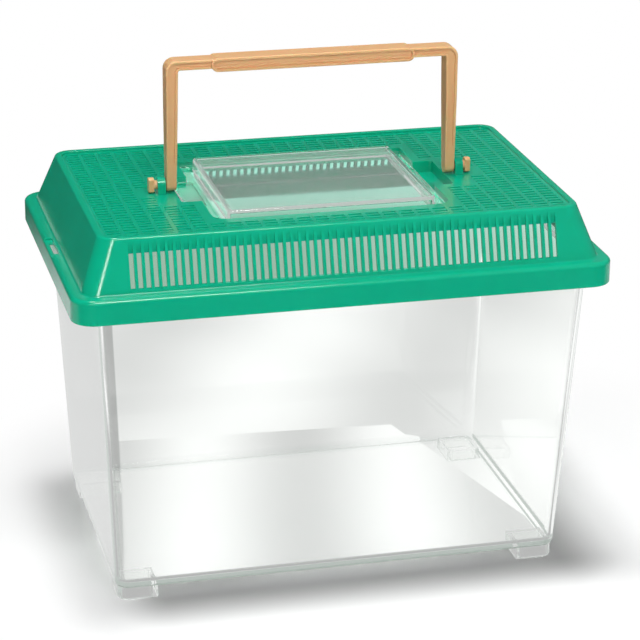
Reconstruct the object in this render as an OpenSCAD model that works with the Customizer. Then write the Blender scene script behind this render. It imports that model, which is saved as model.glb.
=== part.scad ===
// Plastic pet keeper: a clear tub on corner feet, a press-on vented lid with a
// hipped hood, a clear feeding hatch sunk in the lid, and a carrying handle.
// Millimetres. X runs along the width, Y to the back, Z up. The origin is the
// centre of the footprint, on the plane that the feet stand on.

/* [Tub] */
// Outer width of the tub at the top of its walls
tub_w = 272.4; // [255:0.2:330]
// Outer depth of the tub at the top of its walls
tub_d = 187.4; // [184:0.2:230]
// Height of the tub from its underside to the top of its rim
tub_h = 174.6; // [120:0.2:260]
// How far each end wall leans out over the height
tub_lean_x = 8.7; // [4:0.1:12]
// How far the front and the back wall lean out over the height
tub_lean_y = 11.9; // [6:0.1:14]
// Thickness of the tub's walls
tub_wall = 2.4; // [1.6:0.1:3]
// Thickness of the tub's floor
tub_floor = 2.8; // [2:0.1:5]
// Plan radius of the tub's outer corners
tub_r = 8; // [6:0.5:14]
// Radius of the outer edge round the underside
tub_edge_r = 3; // [1:0.1:4]
// Radius between the floor and the walls inside
tub_fillet = 4; // [2:0.1:6]
// Thickness of the flange round the rim
rim_t = 2.4; // [1.6:0.1:4]
// How far the rim stands out past the end walls
rim_out_x = 10.7; // [8:0.1:14]
// How far the rim stands out past the front and the back wall
rim_out_y = 1.2; // [0.8:0.1:4]

/* [Feet] */
// Height of the feet
foot_h = 6.6; // [4:0.1:12]
// Length of a foot along each side of its corner
foot_len = 22; // [16:0.5:30]
// Wall of the hollow foot
foot_wall = 2.6; // [1.6:0.1:4]
// How far the foot stands in from the side of the tub
foot_inset = 1.2; // [0.4:0.1:1.6]
// Radius of the corners inside the hollow foot
foot_r = 2; // [1:0.1:4]

/* [Lid] */
// Height of the skirt, from its lower edge to the ledge
skirt_h = 13.9; // [12:0.1:20]
// Plan radius of the skirt's corners
skirt_r = 13; // [10:0.5:20]
// Radius of the edge between the skirt and the ledge
ledge_r = 2.5; // [1:0.1:3]
// Width of the ledge round the foot of the hood
ledge_w = 6.5; // [5.6:0.1:8]
// Height of the hood above the ledge
hood_h = 28.7; // [24:0.1:40]
// How far each end slope leans in over the height of the hood
hood_lean_x = 10.5; // [6:0.1:16]
// How far the front and the back slope lean in over the height of the hood
hood_lean_y = 9.5; // [6:0.1:12]
// Plan radius of the hood's corners
hood_r = 9.5; // [6:0.5:14]
// Radius of the edge between a slope and the lip
lip_edge_r = 1; // [0.4:0.1:1.4]
// Thickness of the lid's skirt, ledge and slopes
lid_wall = 2.2; // [1.6:0.1:2.6]
// Thickness of the top plate
plate_t = 2.2; // [1.6:0.1:3]
// Width of the raised lip round the top plate
lip_w = 3.6; // [2.6:0.1:5]
// Depth of the top plate below the lip
plate_sink = 1.4; // [0.6:0.1:2]

/* [Vents] */
// Spacing of the upright slots in the front and back slopes
slot_pitch = 4.25; // [3.6:0.05:6]
// Width of an upright slot
slot_w = 2.6; // [1.8:0.1:3]
// Bare length left at each end of a row of upright slots
slot_margin = 14.5; // [10:0.5:30]
// Height of the foot of the slots above the ledge
slot_foot = 2.4; // [1:0.1:6]
// Depth below the lip at which the flutes above the slots begin
flute_top = 1.8; // [1:0.1:4]
// Length of a slit in the top plate
slit_len = 7.4; // [5:0.1:8]
// Width of a slit
slit_w = 1.9; // [1.2:0.1:2.6]
// Spacing of the slits along X
slit_pitch_x = 9.5; // [9:0.1:14]
// Spacing of the slits along Y
slit_pitch_y = 4.25; // [3.6:0.05:6]
// Bare border between the lip and the slits
slit_border = 1.2; // [0.6:0.1:4]
// Bare border left round the hatch well, the pockets and the lugs
well_border = 4; // [2.6:0.1:8]

/* [Hatch] */
// Y of the cross axis shared by the handle, the hatch and the catches
axis_y = -5; // [-8:0.5:0]
// Width of the sunk well that holds the hatch
well_w = 133.2; // [110:0.2:133.4]
// Depth of the well, front to back
well_d = 107; // [80:0.5:110]
// Plan radius of the well's corners
well_r = 8; // [5:0.5:14]
// Depth of the well's seat below the top plate
seat_sink = 4.9; // [3:0.1:5.4]
// Width of the seat at the well's sides
seat_w_side = 6.4; // [4:0.1:7]
// Width of the seat at the well's front and back
seat_w_end = 3.6; // [2.6:0.1:4]
// Thickness of the well's walls
well_wall = 2.4; // [1.8:0.1:3]
// Gap between the hatch and the well round its edge
hatch_gap = 0.4; // [0.3:0.05:0.6]
// Gap under the hatch's flange
hatch_lift = 0.2; // [0.1:0.05:0.4]
// Thickness of the hatch
hatch_t = 2; // [1.4:0.1:2.2]
// Width of the raised panel
panel_w = 116.8; // [90:0.2:117]
// Depth of the raised panel, front to back
panel_d = 100; // [74:0.5:100.5]
// Width of the flange in front of the raised panel
front_flange = 2; // [1:0.1:3]
// Height of the raised panel above the top plate
panel_rise = 3.6; // [2:0.1:6]
// Radius of the raised panel's top edge
panel_edge_r = 1.2; // [0.6:0.1:1.8]
// Plan radius of the raised panel's corners
panel_r = 3; // [2.6:0.1:6]
// Length of each finger pocket, front to back
pocket_len = 45; // [30:0.5:60]
// Width of each finger pocket beyond the well
pocket_w = 11.4; // [8:0.1:11.6]
// Depth of the finger pockets below the top plate
pocket_sink = 6.6; // [6:0.1:8]
// How far the finger pockets reach in under the hatch's flange
pocket_under = 3.4; // [1:0.1:5]
// Plan radius of the pockets' corners and of the corners of the seat's opening
pocket_r = 2; // [1:0.1:3]
// Y of the middle of the finger pockets
pocket_y = -2.5; // [-5:0.5:0]
// Length of the finger tab, front to back
tab_len = 43.6; // [24:0.2:44]
// Plan radius of the finger tab's corners
tab_r = 2; // [1:0.1:3]
// Radius of the hatch's hinge pins
hatch_pin_r = 1.5; // [1.2:0.05:1.8]
// Length of a hatch pin beyond the flange
hatch_pin_len = 2; // [1.2:0.1:2.2]

/* [Handle] */
// Width of the handle over its legs
handle_w = 166; // [160:0.5:167]
// Height of the handle above its pins
handle_h = 71; // [60:0.5:100]
// Thickness of a leg at its top
leg_t = 6.8; // [5:0.1:7]
// Thickness of a leg at its pin
leg_foot_t = 5.6; // [4:0.1:6]
// Depth of the handle, front to back
handle_d = 10.8; // [8:0.1:13]
// Radius of the rounded foot of a leg
leg_foot_r = 3.8; // [3.2:0.1:4]
// Height above the pins at which a leg reaches the handle's full depth
leg_taper_h = 40; // [20:1:50]
// Thickness of the bar between a leg and the grip
bar_t = 5.4; // [4:0.1:7]
// Outer radius of the handle's corners
handle_r = 6; // [4:0.5:9]
// Length of the grip
grip_w = 115.5; // [90:0.5:125]
// Thickness of the grip
grip_t = 7.8; // [6:0.1:12]
// Depth of the grip, front to back
grip_d = 12.4; // [9:0.1:15]
// Width of the raised edge round the handle's recessed faces
edge_w = 1.4; // [1:0.1:1.8]
// Depth of the recessed faces
recess = 1; // [0.4:0.1:1.6]
// Height above the pins at which the legs' recess begins
recess_foot = 12.5; // [8:0.5:30]
// Radius of the handle's pins
pin_r = 2.5; // [2:0.05:3]
// Height of the pins above the top plate
pin_h = 4.6; // [4.4:0.1:7]
// Height of the cross head at the end of a pin
head_h = 8.4; // [7:0.1:8.6]
// Width of the cross head, front to back
head_d = 5; // [4:0.1:6]
// Thickness of the cross head
head_t = 3.2; // [2:0.1:5]
// Gap between a lug and the cross head
head_gap = 1.6; // [0.4:0.1:3]

/* [Lugs and catches] */
// Thickness of a handle lug
lug_t = 4.6; // [3:0.1:6]
// Width of a handle lug, front to back
lug_d = 9; // [8:0.1:12]
// Gap between a lug and the handle's leg
lug_gap = 0.5; // [0.3:0.05:1]
// Length of the window over each catch
catch_len = 18; // [10:0.5:30]
// Width of the window over each catch
catch_w = 2.7; // [1.6:0.1:3]
// Length of the shallow step round the window
catch_step_len = 30; // [22:0.5:40]
// Depth of the shallow step
catch_step = 1.2; // [0.5:0.1:1.6]
// Height of the catch's nib
nib_h = 3; // [2:0.1:5]
// How far the nib stands in from the skirt
nib_reach = 0.5; // [0.2:0.1:0.6]

/* [Clearances] */
// Radial clearance of a pin in its hole
pin_clear = 0.05; // [0.02:0.01:0.1]
// Gap between the tub's rim and the lid above it
rim_gap = 0.2; // [0.1:0.05:0.5]
// Gap between the edge of the rim and the skirt
skirt_gap = 0.9; // [0.7:0.1:1.2]

/* [Hidden] */
$fn = 48;
hull_fn = 32;
thin = 0.01;
over = 1;

base_w = tub_w - 2 * tub_lean_x;
base_d = tub_d - 2 * tub_lean_y;
rim_w = tub_w + 2 * rim_out_x;
rim_d = tub_d + 2 * rim_out_y;
rim_r = skirt_r - lid_wall - skirt_gap;
lid_w = rim_w + 2 * (skirt_gap + lid_wall);
lid_d = rim_d + 2 * (skirt_gap + lid_wall);
tub_top = foot_h + tub_h;
lid_under = tub_top + rim_gap;
ledge_z = lid_under + lid_wall;
skirt_z = ledge_z - skirt_h;
lip_z = ledge_z + hood_h;
plate_z = lip_z - plate_sink;
seat_z = plate_z - seat_sink;
pocket_z = plate_z - pocket_sink;
hood_foot_w = lid_w - 2 * ledge_w;
hood_foot_d = lid_d - 2 * ledge_w;
hood_top_w = hood_foot_w - 2 * hood_lean_x;
hood_top_d = hood_foot_d - 2 * hood_lean_y;
plate_w = hood_top_w - 2 * lip_w;
plate_d = hood_top_d - 2 * lip_w;
well_front = axis_y - well_d / 2;
well_back = axis_y + well_d / 2;
flange_w = well_w - 2 * hatch_gap;
flange_front = well_front + hatch_gap;
flange_z = seat_z + hatch_lift;
hinge_y = well_back - hatch_gap - hatch_pin_r;
hinge_z = flange_z + hatch_pin_r;
panel_front = flange_front + front_flange;
panel_z = plate_z + panel_rise;
pin_y = axis_y;
pin_z = plate_z + pin_h;
lug_x = handle_w / 2 + lug_gap;
head_x = lug_x + lug_t + head_gap;

slope_wall = lid_wall / cos(atan(hood_lean_y / hood_h));
tab_x = handle_w / 2 - leg_t - lug_gap;
grip_mid = handle_h - grip_t / 2 + (grip_t - bar_t) / 4;

// A rectangle with round corners
module round_rect(w, d, r) {
    square([w - 2 * r, d], center = true);
    square([w, d - 2 * r], center = true);
    for (sx = [-1, 1], sy = [-1, 1])
        translate([sx * (w / 2 - r), sy * (d / 2 - r)]) circle(r);
}

// A rectangle with round front corners and square back corners
module front_round_rect(w, d, r) {
    round_rect(w, d, r);
    translate([0, d / 4]) square([w, d / 2], center = true);
}

// A round-cornered block that stands on z
module block(w, d, r, z, h) {
    translate([0, 0, z]) linear_extrude(h) round_rect(w, d, r);
}

// A thin slice of a round-cornered block, for the hulls
module slice(w, d, r, z) {
    translate([0, 0, z]) linear_extrude(thin) round_rect(w, d, r, $fn = hull_fn);
}

// The tub's outer width and depth at height z above its underside
function tub_w_at(z) = base_w + 2 * tub_lean_x * z / tub_h;
function tub_d_at(z) = base_d + 2 * tub_lean_y * z / tub_h;

// One slice of the tub, moved in from its outer face by inset
module tub_slice(z, inset, r) {
    slice(tub_w_at(z) - 2 * inset, tub_d_at(z) - 2 * inset, r, foot_h + z);
}

// A solid with the tub's sloping sides that stands base above its underside and is
// moved in by inset, with its lower edge rounded
module tub_form(inset, base, edge, top) {
    r = tub_r - inset;
    hull() {
        for (a = [0, 30, 60, 90])
            tub_slice(base + edge * (1 - sin(a)), inset + edge * (1 - cos(a)),
                      max(r - edge * (1 - cos(a)), thin));
        tub_slice(top, inset, r);
    }
}

// The hollow foot at the corner where X and Y are positive
module foot() {
    x = base_w / 2 - foot_inset - foot_len;
    y = base_d / 2 - foot_inset - foot_len;
    inner = foot_len - 2 * foot_wall;
    difference() {
        linear_extrude(foot_h + tub_edge_r / 2) intersection() {
            round_rect(base_w - 2 * foot_inset, base_d - 2 * foot_inset, tub_r - foot_inset);
            translate([x, y]) square(foot_len);
        }
        translate([x + foot_len / 2, y + foot_len / 2])
            block(inner, inner, foot_r, -over, foot_h + over);
    }
}

module tub() {
    color([0.86, 0.89, 0.86, 0.45])
        difference() {
            union() {
                tub_form(0, 0, tub_edge_r, tub_h - thin);
                block(rim_w, rim_d, rim_r, tub_top - rim_t, rim_t);
                for (mx = [0, 1], my = [0, 1])
                    mirror([mx, 0, 0]) mirror([0, my, 0]) foot();
            }
            tub_form(tub_wall, tub_floor, tub_fillet, tub_h + over);
        }
}

// One slice of the hood at height z, moved in from its outer slope by inset
module hood_slice(z, inset, r) {
    s = (z - ledge_z) / hood_h;
    slice(hood_foot_w - 2 * hood_lean_x * s - 2 * inset,
          hood_foot_d - 2 * hood_lean_y * s - 2 * inset, r, z);
}

// The skirt and the ledge as one solid block, with the ledge's edge rounded
module skirt_form() {
    hull() {
        slice(lid_w, lid_d, skirt_r, skirt_z);
        for (a = [0, 30, 60, 90])
            slice(lid_w - 2 * ledge_r * (1 - cos(a)), lid_d - 2 * ledge_r * (1 - cos(a)),
                  skirt_r - ledge_r * (1 - cos(a)), ledge_z - ledge_r * (1 - sin(a)) - thin);
    }
}

// The hood as one solid block, with its top edge rounded
module hood_form() {
    hull() {
        hood_slice(ledge_z - lid_wall / 2, 0, hood_r);
        hood_slice(lip_z - lip_edge_r, 0, hood_r);
        hood_slice(lip_z - lip_edge_r * (1 - sin(45)), lip_edge_r * (1 - cos(45)), hood_r);
        hood_slice(lip_z - thin, lip_edge_r, hood_r - lip_edge_r);
    }
}

// The hollow under the hood
module hood_hollow() {
    hull() {
        hood_slice(lid_under - over, slope_wall, hood_r - lid_wall);
        hood_slice(plate_z - plate_t - thin, slope_wall, hood_r - lid_wall);
    }
}

// The walls and the seat of the hatch well, and the walls of both finger pockets
module well_walls() {
    translate([0, axis_y])
        translate([0, 0, seat_z - plate_t]) linear_extrude(seat_sink + plate_t / 2)
            front_round_rect(well_w + 2 * well_wall, well_d + 2 * well_wall, well_r + well_wall);
    for (side = [-1, 1])
        translate([side * well_w / 2, pocket_y])
            block(2 * (pocket_w + well_wall), pocket_len + 2 * well_wall, pocket_r + well_wall,
                  pocket_z - plate_t, pocket_sink + plate_t / 2);
}

// The space of the well, the way through its seat, and the two finger pockets
module well_space() {
    translate([0, axis_y]) {
        translate([0, 0, seat_z]) linear_extrude(seat_sink + over)
            front_round_rect(well_w, well_d, well_r);
        block(well_w - 2 * seat_w_side, well_d - 2 * seat_w_end, pocket_r,
              pocket_z - plate_t - over, pocket_sink + plate_t + 2 * over);
    }
    for (side = [-1, 1])
        translate([side * (well_w / 2 + (pocket_w - pocket_under) / 2), pocket_y])
            block(pocket_w + pocket_under, pocket_len, pocket_r, pocket_z, pocket_sink + over);
}

// The holes for the hatch's hinge pins
module hatch_pin_holes() {
    translate([-well_w / 2 - well_wall - over, hinge_y, hinge_z])
        rotate([0, 90, 0]) cylinder(r = hatch_pin_r + pin_clear, h = well_w + 2 * (well_wall + over));
}

// The upright slots of one slope, as prisms that run straight down: each starts as
// a flute in the slope and breaks through the wall further down
module slots() {
    run = hood_top_w - 2 * slot_margin - slot_w;
    steps = floor(run / slot_pitch);
    face = hood_top_d / 2 + hood_lean_y * flute_top / hood_h;
    translate([0, 0, ledge_z + slot_foot]) linear_extrude(hood_h)
        for (i = [0 : steps])
            translate([(i - steps / 2) * slot_pitch - slot_w / 2, face])
                square([slot_w, lid_d / 2 - face]);
}

// True where a slit at x, y would come too near the rectangle given by its centre
// and its half sizes
function near(x, y, cx, cy, hx, hy) =
    abs(x - cx) < hx + well_border + slit_len / 2 && abs(y - cy) < hy + well_border + slit_w / 2;

// True where the top plate has no slit: over the well, the pockets and the lugs
function bare(x, y) =
    near(abs(x), y, 0, axis_y, well_w / 2, well_d / 2)
    || near(abs(x), y, well_w / 2, pocket_y, pocket_w, pocket_len / 2)
    || near(abs(x), y, lug_x + lug_t / 2, pin_y, lug_t / 2, lug_d / 2);

// The slits of the top plate, in rows along X
module slits() {
    nx = floor((plate_w - 2 * slit_border - slit_len) / slit_pitch_x);
    ny = floor((plate_d - 2 * slit_border - slit_w) / slit_pitch_y);
    translate([0, 0, plate_z - plate_t - over]) linear_extrude(plate_t + 2 * over)
        for (i = [0 : nx], j = [0 : ny]) {
            x = (i - nx / 2) * slit_pitch_x;
            y = (j - ny / 2) * slit_pitch_y;
            if (!bare(x, y)) translate([x, y]) square([slit_len, slit_w], center = true);
        }
}

// A shape drawn in Y and Z about the handle's pins, drawn out along X from x
module across(x, length) {
    translate([x, pin_y, pin_z]) rotate([90, 0, 90]) linear_extrude(length) children();
}

// A lug that carries one pin of the handle
module lug() {
    across(lug_x, lug_t)
        difference() {
            union() {
                circle(lug_d / 2);
                translate([-lug_d / 2, -pin_h - plate_t / 2]) square([lug_d, pin_h + plate_t / 2]);
            }
            circle(pin_r + pin_clear);
        }
}

// The window over a catch with the shallow step round it, cut from the ledge
module catch_window() {
    x = lid_w / 2 - lid_wall - catch_w;
    translate([x, axis_y - catch_len / 2, lid_under - over])
        cube([catch_w, catch_len, lid_wall + 2 * over]);
    translate([x, axis_y - catch_step_len / 2, ledge_z - catch_step])
        cube([catch_w + lid_wall + over, catch_step_len, catch_step + over]);
}

// The catch's nib, a wedge on the inside of the skirt below the tub's rim
module catch_nib() {
    top = tub_top - rim_t - nib_reach;
    translate([lid_w / 2 - lid_wall, axis_y + catch_len / 2, 0]) rotate([90, 0, 0])
        linear_extrude(catch_len)
            polygon([[lid_wall / 2, top - nib_h], [0, top - nib_h], [-nib_reach, top - nib_reach],
                     [-nib_reach, top], [lid_wall / 2, top]]);
}

module lid() {
    color([0.13, 0.66, 0.5]) {
        difference() {
            union() {
                difference() {
                    union() {
                        skirt_form();
                        hood_form();
                    }
                    block(lid_w - 2 * lid_wall, lid_d - 2 * lid_wall, skirt_r - lid_wall,
                          skirt_z - over, lid_under - skirt_z + over);
                    hood_hollow();
                    block(plate_w, plate_d, hood_r - lip_w, plate_z, plate_sink + over);
                    slots();
                    mirror([0, 1, 0]) slots();
                    slits();
                }
                well_walls();
            }
            well_space();
            hatch_pin_holes();
            for (mx = [0, 1]) mirror([mx, 0, 0]) catch_window();
        }
        for (mx = [0, 1]) mirror([mx, 0, 0]) {
            lug();
            catch_nib();
        }
    }
}

module hatch() {
    panel_mid = panel_front + panel_d / 2;
    flange_d = hinge_y - flange_front;
    tab_in = flange_w / 2 - 2 * tab_r;
    color([0.8, 0.86, 0.84, 0.5])
        difference() {
            union() {
                translate([0, flange_front + flange_d / 2, flange_z]) linear_extrude(hatch_t)
                    front_round_rect(flange_w, flange_d, well_r - hatch_gap);
                translate([-(tab_in + tab_x) / 2, pocket_y])
                    block(tab_x - tab_in, tab_len, tab_r, flange_z, hatch_t);
                translate([0, panel_mid]) hull() {
                    slice(panel_w, panel_d, panel_r, flange_z + hatch_t / 2);
                    for (a = [0, 45, 90])
                        slice(panel_w - 2 * panel_edge_r * (1 - cos(a)),
                              panel_d - 2 * panel_edge_r * (1 - cos(a)),
                              panel_r - panel_edge_r * (1 - cos(a)),
                              panel_z - panel_edge_r * (1 - sin(a)) - thin);
                }
                translate([-flange_w / 2 - hatch_pin_len, hinge_y, hinge_z])
                    rotate([0, 90, 0]) cylinder(r = hatch_pin_r, h = flange_w + 2 * hatch_pin_len);
            }
            translate([0, panel_mid])
                block(panel_w - 2 * hatch_t, panel_d - 2 * hatch_t, panel_r - hatch_t,
                      flange_z - over, panel_z - hatch_t - flange_z + over);
        }
}

// The handle's outline in X and Z about its pins, moved in all round by inset
module handle_outline(inset) {
    w = handle_w / 2 - inset;
    top = handle_h - inset;
    r = handle_r - inset;
    foot = handle_w / 2 - leg_foot_t + inset;
    inner = handle_w / 2 - leg_t + inset;
    under = handle_h - bar_t + inset;
    difference() {
        union() {
            translate([-w, -leg_foot_r]) square([2 * w, top - r + leg_foot_r]);
            translate([-w + r, 0]) square([2 * (w - r), top]);
            for (side = [-1, 1]) translate([side * (w - r), top - r]) circle(r);
        }
        polygon([[-foot, -handle_h], [foot, -handle_h], [foot, 0], [inner, under],
                 [-inner, under], [-foot, 0]]);
    }
}

// The handle's side view in Y and Z about its pins, moved in front and back by inset
module handle_side(inset) {
    deep = handle_d / 2 - inset;
    foot = leg_foot_r - inset;
    circle(foot);
    polygon([[-foot, 0], [foot, 0], [deep, leg_taper_h], [deep, handle_h + over],
             [-deep, handle_h + over], [-deep, leg_taper_h]]);
}

// A shape drawn in X and Z about the pins, drawn out to both sides along Y
module through(depth) {
    translate([0, pin_y, pin_z]) rotate([90, 0, 0]) linear_extrude(depth, center = true) children();
}

module handle_side_solid(inset) {
    across(-handle_w / 2 - over, handle_w + 2 * over) handle_side(inset);
}

// The legs and the bar
module handle_frame() {
    difference() {
        intersection() {
            through(handle_d + 2 * over) handle_outline(0);
            handle_side_solid(0);
        }
        difference() {
            through(handle_d + 2 * over) intersection() {
                handle_outline(edge_w);
                translate([-handle_w / 2, recess_foot]) square([handle_w, handle_h]);
            }
            handle_side_solid(recess);
        }
    }
}

// The grip's outline in X and Z about the pins, moved in all round by inset
module grip_outline(inset) {
    r = grip_t / 2 - inset;
    translate([0, grip_mid]) {
        square([grip_w - grip_t, 2 * r], center = true);
        for (side = [-1, 1]) translate([side * (grip_w - grip_t) / 2, 0]) circle(r);
    }
}

module grip() {
    difference() {
        through(grip_d) grip_outline(0);
        difference() {
            through(grip_d + 2 * over) grip_outline(edge_w);
            through(grip_d - 2 * recess) grip_outline(0);
        }
    }
}

// One pin of the handle with its cross head
module pin() {
    across(handle_w / 2 - leg_foot_t / 2, head_x + head_t / 2 - handle_w / 2 + leg_foot_t / 2)
        circle(pin_r);
    across(head_x, head_t) intersection() {
        circle(head_h / 2);
        square([head_d, head_h], center = true);
    }
}

module handle() {
    color([0.8, 0.63, 0.46]) {
        handle_frame();
        grip();
        for (mx = [0, 1]) mirror([mx, 0, 0]) pin();
    }
}

tub();
lid();
hatch();
handle();
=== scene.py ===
"""A clear plastic pet keeper: tub, vented green lid, clear feeding hatch and tan handle."""

import math

import bmesh
import bpy
import numpy as np
from mathutils import Matrix, Vector


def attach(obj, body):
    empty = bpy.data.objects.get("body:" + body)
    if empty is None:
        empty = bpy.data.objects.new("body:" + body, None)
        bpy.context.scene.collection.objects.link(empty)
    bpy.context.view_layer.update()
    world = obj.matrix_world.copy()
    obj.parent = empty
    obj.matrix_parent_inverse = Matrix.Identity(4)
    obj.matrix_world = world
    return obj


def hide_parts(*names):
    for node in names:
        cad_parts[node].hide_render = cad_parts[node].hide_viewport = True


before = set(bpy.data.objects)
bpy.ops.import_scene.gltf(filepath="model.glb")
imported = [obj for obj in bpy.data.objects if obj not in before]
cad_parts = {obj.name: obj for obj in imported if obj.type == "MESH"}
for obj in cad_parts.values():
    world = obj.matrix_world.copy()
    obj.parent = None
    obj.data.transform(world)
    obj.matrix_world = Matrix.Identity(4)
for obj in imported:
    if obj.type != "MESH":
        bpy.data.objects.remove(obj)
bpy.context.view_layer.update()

# ---------------------------------------------------------------- camera
# A long lens a little above the lid, from the front left, as a table-top product is shot.
# Place, lens and sensor are in millimetres, angles in degrees and the clip in metres.

MM = 0.001
CAMERA_AT = (-331.53, -1338.11, 646.10)
CAMERA_YAW, CAMERA_PITCH, CAMERA_ROLL = 14.209, 20.664, 0.512
LENS, SENSOR, CLIP_END = 143.81, 36.0, 20.0


def make_camera():
    """Looks along +Y, then turns towards +X by the yaw, down by the pitch, and rolls."""
    data = bpy.data.cameras.new("camera")
    data.lens = LENS
    data.sensor_width = SENSOR
    data.clip_end = CLIP_END
    camera = bpy.data.objects.new("camera", data)
    bpy.context.scene.collection.objects.link(camera)
    turn = Matrix.Rotation(math.radians(-CAMERA_YAW), 4, "Z")
    tilt = Matrix.Rotation(math.radians(90.0 - CAMERA_PITCH), 4, "X")
    roll = Matrix.Rotation(math.radians(CAMERA_ROLL), 4, "Z")
    place = Matrix.Translation([c * MM for c in CAMERA_AT])
    camera.matrix_world = place @ turn @ tilt @ roll
    bpy.context.scene.camera = camera


make_camera()
bpy.context.scene.view_settings.view_transform = "Standard"

# ---------------------------------------------------------------- floor and light
# A white table under three soft square lamps: front left, above the front and overhead. The room is
# dim where the object mirrors it, so that the green keeps its colour and clear edges show grey.
# Where clear plastic shows the table, painted shade in bands and painted grey-green shade are drawn
# on it, and where the camera sees it a painted contact shadow lies round the tub. Lengths are in
# metres, greys are linear, and a pair of ends is where a change begins and where it is complete.

FLOOR_SIZE = 6.0
FLOOR_WHITE = "#f4f4f4"
# As the camera sees it: fully lit it is white, and away from the shadow it is plain white.
FLOOR_LIFT = 0.95
SHADOW_MID, FLOOR_PLAIN = (0.06, -0.03, 0.0), (0.19, 0.31)
# A painted soft contact shadow round a rectangle under the tub's base, reaching out in front and to
# the right.
CONTACT_MID, CONTACT_HALF = (0.015, -0.020, 0.0), (0.1125, 0.0618, 0.0)
CONTACT_ENDS, CONTACT_DARK = (0.0, 0.042), 0.34
# As glossy faces mirror it: bright near the object only, in a room darker at its left.
TABLE_GLOSS, TABLE_DIM = 0.90, 0.03
TABLE_FRONT, TABLE_BACK = (-0.20, 0.0), (0.35, 0.65)
ROOM_LEFT, ROOM_RIGHT, ROOM_ENDS = 0.045, 0.20, (0.13, 0.36)
# As clear plastic shows it: bands of painted shade behind and under the tub, each given by its
# waves per metre along X and Y, its offset in waves and its least grey. Then the lines that part
# the two, the painted shade to the left and in front, the painted grey-green shade behind and the
# grey far off.
WINDOW = 1.17
SHADE_BANDS_BEHIND = ((4.25, -2.25, 0.0), 0.392, 0.70)
SHADE_BANDS_UNDER = ((7.87, -1.75, 0.0), 0.509, 0.62)
UNDER_RIGHT, UNDER_BACK = ((1.0, 0.25, 0.0), 0.1196), ((0.07, 1.0, 0.0), 0.135)
# Painted shade on the table, which the tub's left front corner and its bottom edge show.
SHADE = 0.42
SHADE_WAY, SHADE_LEFT = (0.989, -0.151, 0.0), ((-0.1140, -0.1095), (-0.26, -0.34))
SHADE_FRONT = ((-0.0665, -0.0605), (-0.10, -0.13))
# Painted grey-green shade behind the tub, which the slots and the hatch show through clear plastic.
SHADED_FIELD_LEFT, SHADED_FIELD_RIGHT, SHADED_FIELD_FAR = "#8fb09d", "#c0e4d8", "#98f0d8"
SHADED_FIELD_SIDES, SHADED_FIELD_ENDS, SHADED_FIELD_FAR_ENDS = (0.08, 0.42), (0.37, 0.41), (0.50, 0.68)
SIDE_GREY = 0.40
TABLE_MID, TABLE_ENDS, SKY_ENDS = (0.10, 0.30, 0.0), (0.50, 0.70), (0.80, 0.60)
# Mirrored more often than this, a ray is inside clear plastic; past this many diffuse
# bounces, it is light on a plain surface and not what the camera sees.
MIRRORED_INSIDE, FIRST_BOUNCE = 1.5, 0.5
# The room's even light, then the lamps: place, side and watts.
SKY_LIGHT = 0.30
LAMPS = {"key": ((-0.56, -1.39, 0.75), 0.30, 5.5),
         "front": ((0.10, -1.25, 1.75), 0.60, 18.5),
         "overhead": ((-0.13, 0.08, 2.20), 0.40, 19.0)}
LAMP_AIM = (0.0, 0.0, 0.16)


def linear(code):
    """An sRGB hex colour as opaque linear RGBA."""
    srgb = [int(code[i:i + 2], 16) / 255.0 for i in (1, 3, 5)]
    return (*(c / 12.92 if c <= 0.04045 else ((c + 0.055) / 1.055) ** 2.4 for c in srgb), 1)


def grey(level):
    """A linear grey as opaque RGBA."""
    return (level,) * 3 + (1,)


def add(tree, kind, inputs=None, **settings):
    """Adds a node with its settings, and sets or links its inputs by name or number."""
    made = tree.nodes.new(kind)
    for name, value in settings.items():
        setattr(made, name, value)
    for key, value in (inputs or {}).items():
        if isinstance(value, bpy.types.NodeSocket):
            tree.links.new(value, made.inputs[key])
        else:
            made.inputs[key].default_value = value
    return made


def calc(tree, operation, *values):
    """One step of arithmetic on numbers."""
    return add(tree, "ShaderNodeMath", dict(enumerate(values)), operation=operation).outputs[0]


def calc_vector(tree, operation, *values, gives="Vector"):
    """One step of arithmetic on vectors, which gives a Vector or a Value."""
    return add(tree, "ShaderNodeVectorMath", dict(enumerate(values)),
               operation=operation).outputs[gives]


def new_material(name):
    """An empty node material, its tree and its output node."""
    material = bpy.data.materials.new(name)
    material.use_nodes = True
    material.node_tree.nodes.clear()
    return material, material.node_tree, add(material.node_tree, "ShaderNodeOutputMaterial")


def step_up(tree, value, ends):
    """0 at the first end and 1 at the second, with a smooth way between."""
    return add(tree, "ShaderNodeMapRange", {"Value": value, "From Min": ends[0],
                                            "From Max": ends[1]},
               interpolation_type="SMOOTHSTEP").outputs[0]


def along(tree, place, way):
    """How far a place lies along a direction."""
    return calc_vector(tree, "DOT_PRODUCT", place, way, gives="Value")


def shade_bands(tree, place, way, offset, least):
    """Painted soft shade in parallel bands: a cosine along a direction, from the least shade to 1.
    """
    turn = calc(tree, "MULTIPLY_ADD", along(tree, place, way), 2 * math.pi,
                2 * math.pi * offset)
    return add(tree, "ShaderNodeMapRange", {"Value": calc(tree, "COSINE", turn),
                                            "From Min": -1.0, "To Min": least}).outputs[0]


def blend_colour(tree, factor, first, second):
    """One colour or shade over another by a factor."""
    return add(tree, "ShaderNodeMix", {"Factor": factor, "A": first, "B": second},
               data_type="RGBA").outputs["Result"]


def emit(tree, colour, strength=1.0):
    """A surface that shines by itself."""
    return add(tree, "ShaderNodeEmission", {0: colour, 1: strength}).outputs[0]


def through_plastic(tree, path):
    """1 for what the camera sees that last passed through clear plastic, or was mirrored
    inside it, and 0 for light that comes off a plain surface."""
    inside = calc(tree, "GREATER_THAN", path.outputs["Glossy Depth"], MIRRORED_INSIDE)
    either = calc(tree, "MAXIMUM", path.outputs["Is Transmission Ray"], inside)
    seen = calc(tree, "LESS_THAN", path.outputs["Diffuse Depth"], FIRST_BOUNCE)
    return calc(tree, "MULTIPLY", either, seen)


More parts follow.
